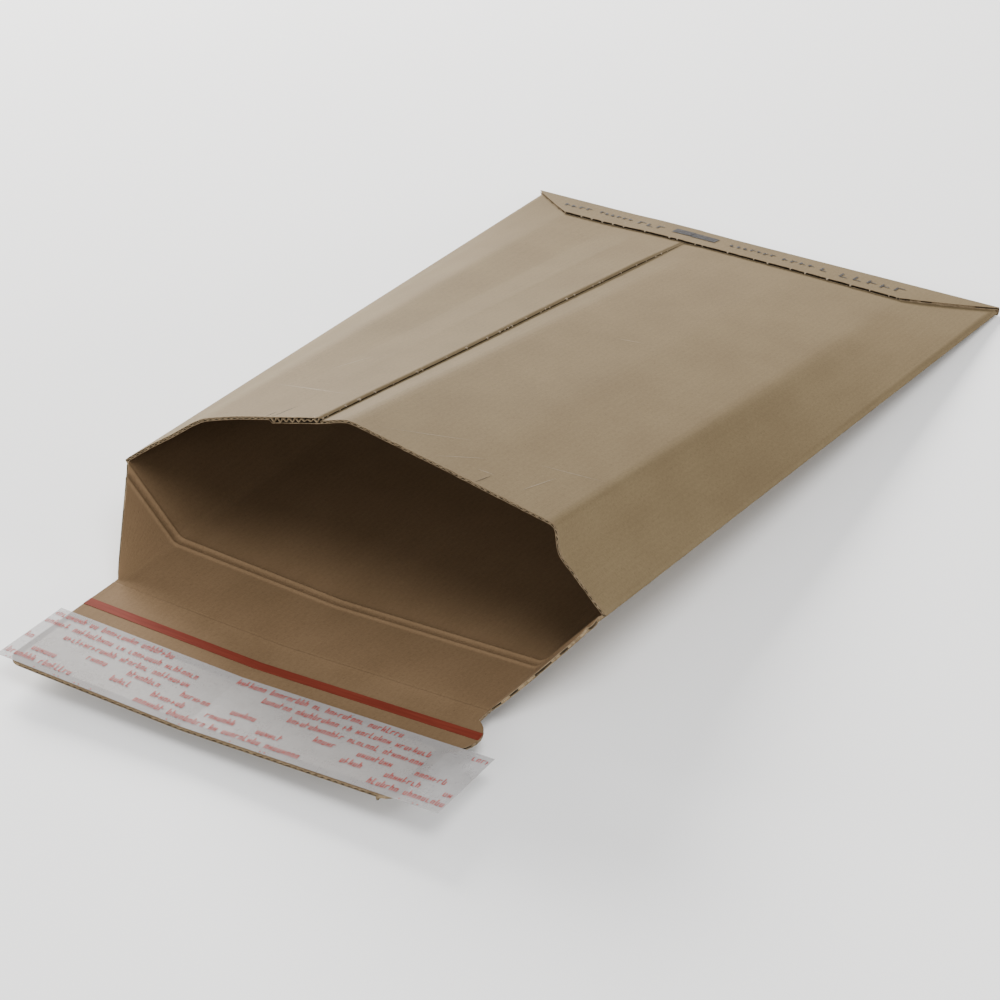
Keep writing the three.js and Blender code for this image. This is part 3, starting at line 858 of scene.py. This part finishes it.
def texture(tree, coordinate, scale, detail=4.0, roughness=0.55):
    mapping = tree.nodes.new("ShaderNodeMapping")
    mapping.inputs["Scale"].default_value = scale
    tree.links.new(coordinate, mapping.inputs["Vector"])
    made = tree.nodes.new("ShaderNodeTexNoise")
    made.inputs["Scale"].default_value = 1.0
    made.inputs["Detail"].default_value = detail
    made.inputs["Roughness"].default_value = roughness
    tree.links.new(mapping.outputs["Vector"], made.inputs["Vector"])
    return made.outputs["Fac"]


def ramp(tree, value, stops):
    made = tree.nodes.new("ShaderNodeValToRGB")
    elements = made.color_ramp.elements
    while len(elements) < len(stops):
        elements.new(0.5)
    for element, (position, colour) in zip(elements, stops):
        element.position = position
        element.color = (*colour, 1.0)
    tree.links.new(value, made.inputs["Fac"])
    return made.outputs["Color"]


def blend(tree, mode, factor, a, b):
    made = tree.nodes.new("ShaderNodeMix")
    made.data_type = "RGBA"
    made.blend_type = mode
    made.inputs["Factor"].default_value = factor
    tree.links.new(a, made.inputs["A"])
    tree.links.new(b, made.inputs["B"])
    return made.outputs["Result"]


def maths(tree, operation, a, b=None):
    made = tree.nodes.new("ShaderNodeMath")
    made.operation = operation
    for socket, value in zip(made.inputs, (a, b)):
        if isinstance(value, (int, float)):
            socket.default_value = value
        elif value is not None:
            tree.links.new(value, socket)
    return made.outputs["Value"]


def relief(tree, surface, height, strength, distance):
    made = tree.nodes.new("ShaderNodeBump")
    made.inputs["Strength"].default_value = strength
    made.inputs["Distance"].default_value = distance
    tree.links.new(height, made.inputs["Height"])
    tree.links.new(made.outputs["Normal"], surface.inputs["Normal"])


def grey(value):
    return (value, value, value)


def flat_place(tree):
    """The place on the flat sheet, in metres."""
    made = tree.nodes.new("ShaderNodeUVMap")
    made.uv_map = "flat_sheet"
    return made.outputs["UV"]


def object_place(tree):
    return tree.nodes.new("ShaderNodeTexCoord").outputs["Object"]


def kraft(name, colours, roughness, washboard):
    """Kraft paper: clouds, long fibres and flecks, over a faint washboard from the flutes below."""
    material, tree, surface = shader(name, roughness, 0.06)
    place = flat_place(tree)
    clouds = texture(tree, place, (38, 26, 1), 3)
    fibres = texture(tree, place, (1500, 420, 1), 5, 0.7)
    cross = texture(tree, place, (520, 1700, 1), 4, 0.7)
    flecks = texture(tree, place, (900, 560, 1), 2)
    base = ramp(tree, clouds, ((0.3, colours[0]), (0.72, colours[1])))
    grain = ramp(tree, maths(tree, "MULTIPLY", maths(tree, "ADD", fibres, cross), 0.5),
                 ((0.36, grey(0.72)), (0.5, grey(0.98)), (0.64, grey(1.16))))
    marks = ramp(tree, flecks, ((0.25, grey(0.62)), (0.33, grey(1.0)), (0.7, grey(1.0)), (0.78, grey(1.22))))
    colour = blend(tree, "MULTIPLY", 0.55, base, grain)
    colour = blend(tree, "MULTIPLY", 0.5, colour, marks)
    split = tree.nodes.new("ShaderNodeSeparateXYZ")
    tree.links.new(place, split.inputs["Vector"])
    across = maths(tree, "MULTIPLY", split.outputs["X"], 2 * math.pi / (FLUTE_PITCH * MM))
    waves = maths(tree, "SINE", across)
    tint = ramp(tree, maths(tree, "MULTIPLY_ADD", waves, 0.5), ((0.0, grey(0.965)), (1.0, grey(1.03))))
    colour = blend(tree, "MULTIPLY", washboard, colour, tint)
    tree.links.new(colour, surface.inputs["Base Color"])
    height = maths(tree, "ADD", maths(tree, "MULTIPLY", waves, 0.35 * washboard),
                   maths(tree, "MULTIPLY", fibres, 0.5))
    relief(tree, surface, height, 0.35, 0.00012)
    return material


def fibrous(name, colours, scale):
    """Torn or cut paper, rough and without shine; also the slot's near-black painted shade."""
    material, tree, surface = shader(name, 0.9, 0.05)
    tufts = texture(tree, flat_place(tree), (scale, scale, 1), 4)
    colour = ramp(tree, tufts, ((0.34, colours[0]), (0.66, colours[1])))
    tree.links.new(colour, surface.inputs["Base Color"])
    return material


def tape_red():
    material, tree, surface = shader("tear_tape_red", 0.75, 0.04)
    streaks = texture(tree, object_place(tree), (60, 900, 60), 3)
    colour = ramp(tree, streaks, ((0.3, TAPE_RED[0]), (0.7, TAPE_RED[1])))
    tree.links.new(colour, surface.inputs["Base Color"])
    relief(tree, surface, streaks, 0.2, 0.0001)
    return material


def adhesive_clear():
    material, tree, surface = shader("adhesive_clear", 0.3, 0.5)
    ripple = texture(tree, object_place(tree), (120, 500, 120), 3)
    colour = ramp(tree, ripple, ((0.3, ADHESIVE[0]), (0.7, ADHESIVE[1])))
    tree.links.new(colour, surface.inputs["Base Color"])
    relief(tree, surface, ripple, 0.4, 0.0001)
    return material


def liner_paper():
    """Thin siliconised paper that lets some of the board's brown through."""
    material, tree, surface = shader("liner_translucent", 0.65, 0.05)
    place = object_place(tree)
    clouds = texture(tree, place, (90, 90, 90), 4)
    fibres = texture(tree, place, (900, 500, 500), 4, 0.7)
    base = ramp(tree, clouds, ((0.3, LINER_PAPER[0]), (0.7, LINER_PAPER[1])))
    grain = ramp(tree, fibres, ((0.35, grey(0.93)), (0.65, grey(1.05))))
    tree.links.new(blend(tree, "MULTIPLY", 0.6, base, grain), surface.inputs["Base Color"])
    surface.inputs["Alpha"].default_value = LINER_ALPHA
    relief(tree, surface, clouds, 0.3, 0.0002)
    return material


def ink(name, colours, alpha):
    """Print or a rub that lets some of the paper show."""
    material, tree, surface = shader(name, 0.6, 0.05)
    spots = texture(tree, object_place(tree), (1500, 1500, 1500), 3)
    colour = ramp(tree, spots, ((0.3, colours[0]), (0.7, colours[1])))
    tree.links.new(colour, surface.inputs["Base Color"])
    surface.inputs["Alpha"].default_value = alpha
    return material


def floor_material():
    material, tree, surface = shader("studio_floor", 0.9, 0.05)
    clouds = texture(tree, object_place(tree), (2, 2, 2), 2)
    colour = ramp(tree, clouds, ((0.3, grey(0.86)), (0.7, grey(0.88))))
    tree.links.new(colour, surface.inputs["Base Color"])
    return material


# Strips on the flap

def film_point(x, v, height):
    """A place over the closing flap's inner face, in metres."""
    return (Vector((x, -v, flap_height(x, v) + height)) - ORIGIN) * MM


def letter_strokes(rng, x, base):
    """A letter-sized mark: one or two upright strokes and a bar."""
    tall = LETTER_TALL if rng.random() < TALL_SHARE else LETTER_LOW
    bar = base - rng.choice((0.0, 0.5, 1.0)) * (LETTER_LOW - STROKE)
    strokes = [(x, x + STROKE, base, base - tall)]
    if rng.random() < TWO_STROKE_SHARE:
        strokes.append((x + LETTER_WIDTH - STROKE, x + LETTER_WIDTH, base, base - LETTER_LOW))
    strokes.append((x, x + LETTER_WIDTH, bar, bar - STROKE))
    return strokes


def print_rows(rng, left, right):
    """Rows of marks in groups as long as words, each row further to the right than the last."""
    strokes = []
    first = LINER_START - PRINT_OFF_EDGE
    for row in range(PRINT_ROWS):
        base = first + PRINT_ROW * row
        words = WORDS[row % len(WORDS)]
        gap = LETTER_PITCH * (WIDE_GAP if len(words) == 4 else 1)
        length = sum(words) * LETTER_PITCH + gap * len(words) + PRINT_GAP
        x = left - PRINT_BEFORE + PRINT_STEP * row
        while x < right:
            for count in words:
                for _ in range(count):
                    strokes += letter_strokes(rng, x, base)
                    x += LETTER_PITCH
                x += gap
            x += max(PRINT_LEAST_GAP, PRINT_REPEAT - length)
    return strokes


def print_piece(name, quads, material):
    """Flat marks that lie on a surface."""
    points = [tuple(point) for quad in quads for point in quad]
    faces = [tuple(range(4 * j, 4 * j + 4)) for j in range(len(quads))]
    mesh = bpy.data.meshes.new(name)
    mesh.from_pydata(points, [], faces)
    mesh.materials.append(material)
    made = bpy.data.objects.new(name, mesh)
    bpy.context.scene.collection.objects.link(made)
    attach(made, "root")


def add_print(material):
    """Stepped rows of letter-sized red marks on the liner."""
    left = PRINT_SIDE_MARGIN - FLAP_LEFT - LINER_OVERHANG_LEFT
    right = FLAP_RIGHT + LINER_OVERHANG_RIGHT - PRINT_SIDE_MARGIN
    low, high = LINER_START + PRINT_MARGIN, LINER_START + LINER_WIDTH - PRINT_MARGIN
    quads = []
    for x0, x1, v0, v1 in print_rows(random.Random(PRINT_SEED), left, right):
        x0, x1, v0, v1 = max(left, x0), min(right, x1), min(high, v0), max(low, v1)
        if x1 - x0 > STROKE_LEAST and v0 - v1 > STROKE_LEAST:
            corners = ((x0, v0), (x1, v0), (x1, v1), (x0, v1))
            quads.append([film_point(x, v, PRINT_LIFT) for x, v in corners])
    print_piece("liner_print", quads, material)


def front_place(x, share):
    """A point just above the front, from its place across at the mouth."""
    fronts = [k for k, column in enumerate(COLUMNS) if column.side == "front"]
    side = [k for k in fronts if (k < FLOOR_FIRST) == (x > SEAM_AT_MOUTH[0])]
    near = sorted(side, key=lambda k: abs(COLUMNS[k].mouth.x - x))[:2]
    a, b = sorted(near)
    span = COLUMNS[b].mouth.x - COLUMNS[a].mouth.x
    t = clamp((x - COLUMNS[a].mouth.x) / span, 0, 1) if abs(span) > 1e-6 else 0
    row = tube_row(share)
    return row[a][1].lerp(row[b][1], t) + Vector((0, 0, SCUFF_LIFT))


def line_swell(step):
    """A line's width at one of its steps: full in the middle and nearly nothing at the ends."""
    return math.sin(math.pi * (step + LINE_TIP) / (LINE_STEPS + 2 * LINE_TIP))


def add_lines(name, places, material):
    """Hairline creases, rubs and small tears in the outer paper."""
    quads = []
    for x0, share0, x1, share1 in places:
        line = [front_place(lerp(x0, x1, t), lerp(share0, share1, t)) for t in spread(0, 1, LINE_STEPS)]
        for j, (a, b) in enumerate(zip(line, line[1:])):
            across = (b - a).cross(Vector((0, 0, 1))).normalized() * SCUFF_WIDTH / 2
            near, far = line_swell(j), line_swell(j + 1)
            corners = (a - across * near, a + across * near, b + across * far, b - across * far)
            quads.append([(corner - ORIGIN) * MM for corner in corners])
    print_piece(name, quads, material)


def flap_strokes():
    """Strokes of the bottom flap's marks: from and to across, and from and to in depth."""
    rng = random.Random(MARK_SEED)
    strokes = [(x, x + 1, *BLOCK_DEPTHS) for x in range(*BLOCK_PLACE)]
    for first, last, size in MARK_GROUPS:
        x = first
        while x < last:
            near = MARK_DEPTH + rng.uniform(-MARK_WANDER, MARK_WANDER)
            strokes.append((x, x + MARK_STROKE, near, near + size))
            bar = near + rng.choice((0, 0.5, 1)) * (size - MARK_BAR_ROOM)
            strokes.append((x, x + size * MARK_WIDTH, bar, bar + MARK_BAR))
            x += size * MARK_PITCH
    return strokes


def add_flap_marks(material):
    """A faint row of grey strokes along the bottom flap, with one block in it."""
    quads = []
    for x0, x1, d0, d1 in flap_strokes():
        depths = spread(d0, d1, MARK_STEPS)
        for a, b in zip(depths, depths[1:]):
            corners = ((x0, a), (x1, a), (x1, b), (x0, b))
            quads.append([(flap_top(x, d) - ORIGIN) * MM for x, d in corners])
    print_piece("flap_print", quads, material)


# Camera, light and floor

def add_camera():
    a, e, r = (math.radians(angle) for angle in (CAMERA_AZIMUTH, CAMERA_ELEVATION, CAMERA_ROLL))
    back = Vector((math.sin(a) * math.cos(e), -math.cos(a) * math.cos(e), math.sin(e)))
    level = Vector((math.cos(a), math.sin(a), 0))
    rise = back.cross(level)
    right = level * math.cos(r) + rise * math.sin(r)
    up = rise * math.cos(r) - level * math.sin(r)
    data = bpy.data.cameras.new("camera")
    data.lens, data.sensor_width, data.sensor_fit = CAMERA_LENS, CAMERA_SENSOR, "HORIZONTAL"
    data.clip_start, data.clip_end = CAMERA_CLIP
    camera = bpy.data.objects.new("camera", data)
    camera.matrix_world = Matrix.Translation((CAMERA_PLACE - ORIGIN) * MM) @ Matrix(
        (right, up, back)).transposed().to_4x4()
    bpy.context.scene.collection.objects.link(camera)
    bpy.context.scene.camera = camera


def add_light(name, place, aim, power, size, colour):
    data = bpy.data.lights.new(name, "AREA")
    data.energy, data.shape, data.size, data.color = power, "DISK", size, colour
    light = bpy.data.objects.new(name, data)
    light.location = place
    light.rotation_euler = (Vector(aim) - Vector(place)).to_track_quat("-Z", "Y").to_euler()
    bpy.context.scene.collection.objects.link(light)


def add_floor():
    mesh = bpy.data.meshes.new("studio_floor")
    corners = [(x * FLOOR_HALF, y * FLOOR_HALF, -FLOOR_GAP) for x, y in ((-1, -1), (1, -1), (1, 1), (-1, 1))]
    mesh.from_pydata(corners, [], [(0, 1, 2, 3)])
    mesh.materials.append(floor_material())
    floor = bpy.data.objects.new("studio_floor", mesh)
    bpy.context.scene.collection.objects.link(floor)


def add_world():
    world = bpy.data.worlds.new("studio")
    world.use_nodes = True
    background = world.node_tree.nodes["Background"]
    background.inputs["Color"].default_value = (*WORLD_COLOUR, 1)
    background.inputs["Strength"].default_value = WORLD_STRENGTH
    bpy.context.scene.world = world


def build_board():
    mesh = SheetMesh()
    add_tube(mesh)
    add_closing_flap(mesh)
    add_bottom_flap(mesh)
    add_seam_lips(mesh, [tube_row(share) for share in spread(0, SEAM_END, SEAM_STEPS)])
    add_seam_tufts(mesh)
    outer = kraft("kraft_outer", KRAFT_OUTER, roughness=0.8, washboard=0.4)
    inner = kraft("kraft_inner", KRAFT_INNER, roughness=0.85, washboard=0.45)
    edges = [fibrous(name, colours, scale) for name, colours, scale in EDGE_PAPERS]
    board = mesh.make("folded_board", (outer, inner, *edges))
    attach(board, "root")
    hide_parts("envelope_board")


def dress(node, material):
    """Gives a solid that stays its material."""
    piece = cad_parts[node]
    piece.data.materials.clear()
    piece.data.materials.append(material)


add_camera()
add_floor()
add_world()
for light in LIGHTS:
    add_light(*light)
build_board()
dress("tear_strip", tape_red())
dress("adhesive_strip", adhesive_clear())
dress("release_liner", liner_paper())
add_print(ink("liner_print_red", PRINT_RED, 0.9))
add_lines("front_scuffs", SCUFFS, ink("scuffed_paper", SCUFFED_PAPER, 0.75))
add_lines("front_nicks", NICKS, ink("torn_nick", TORN_PAPER, 0.8))
add_flap_marks(ink("flap_print_grey", PRINT_GREY, 0.85))
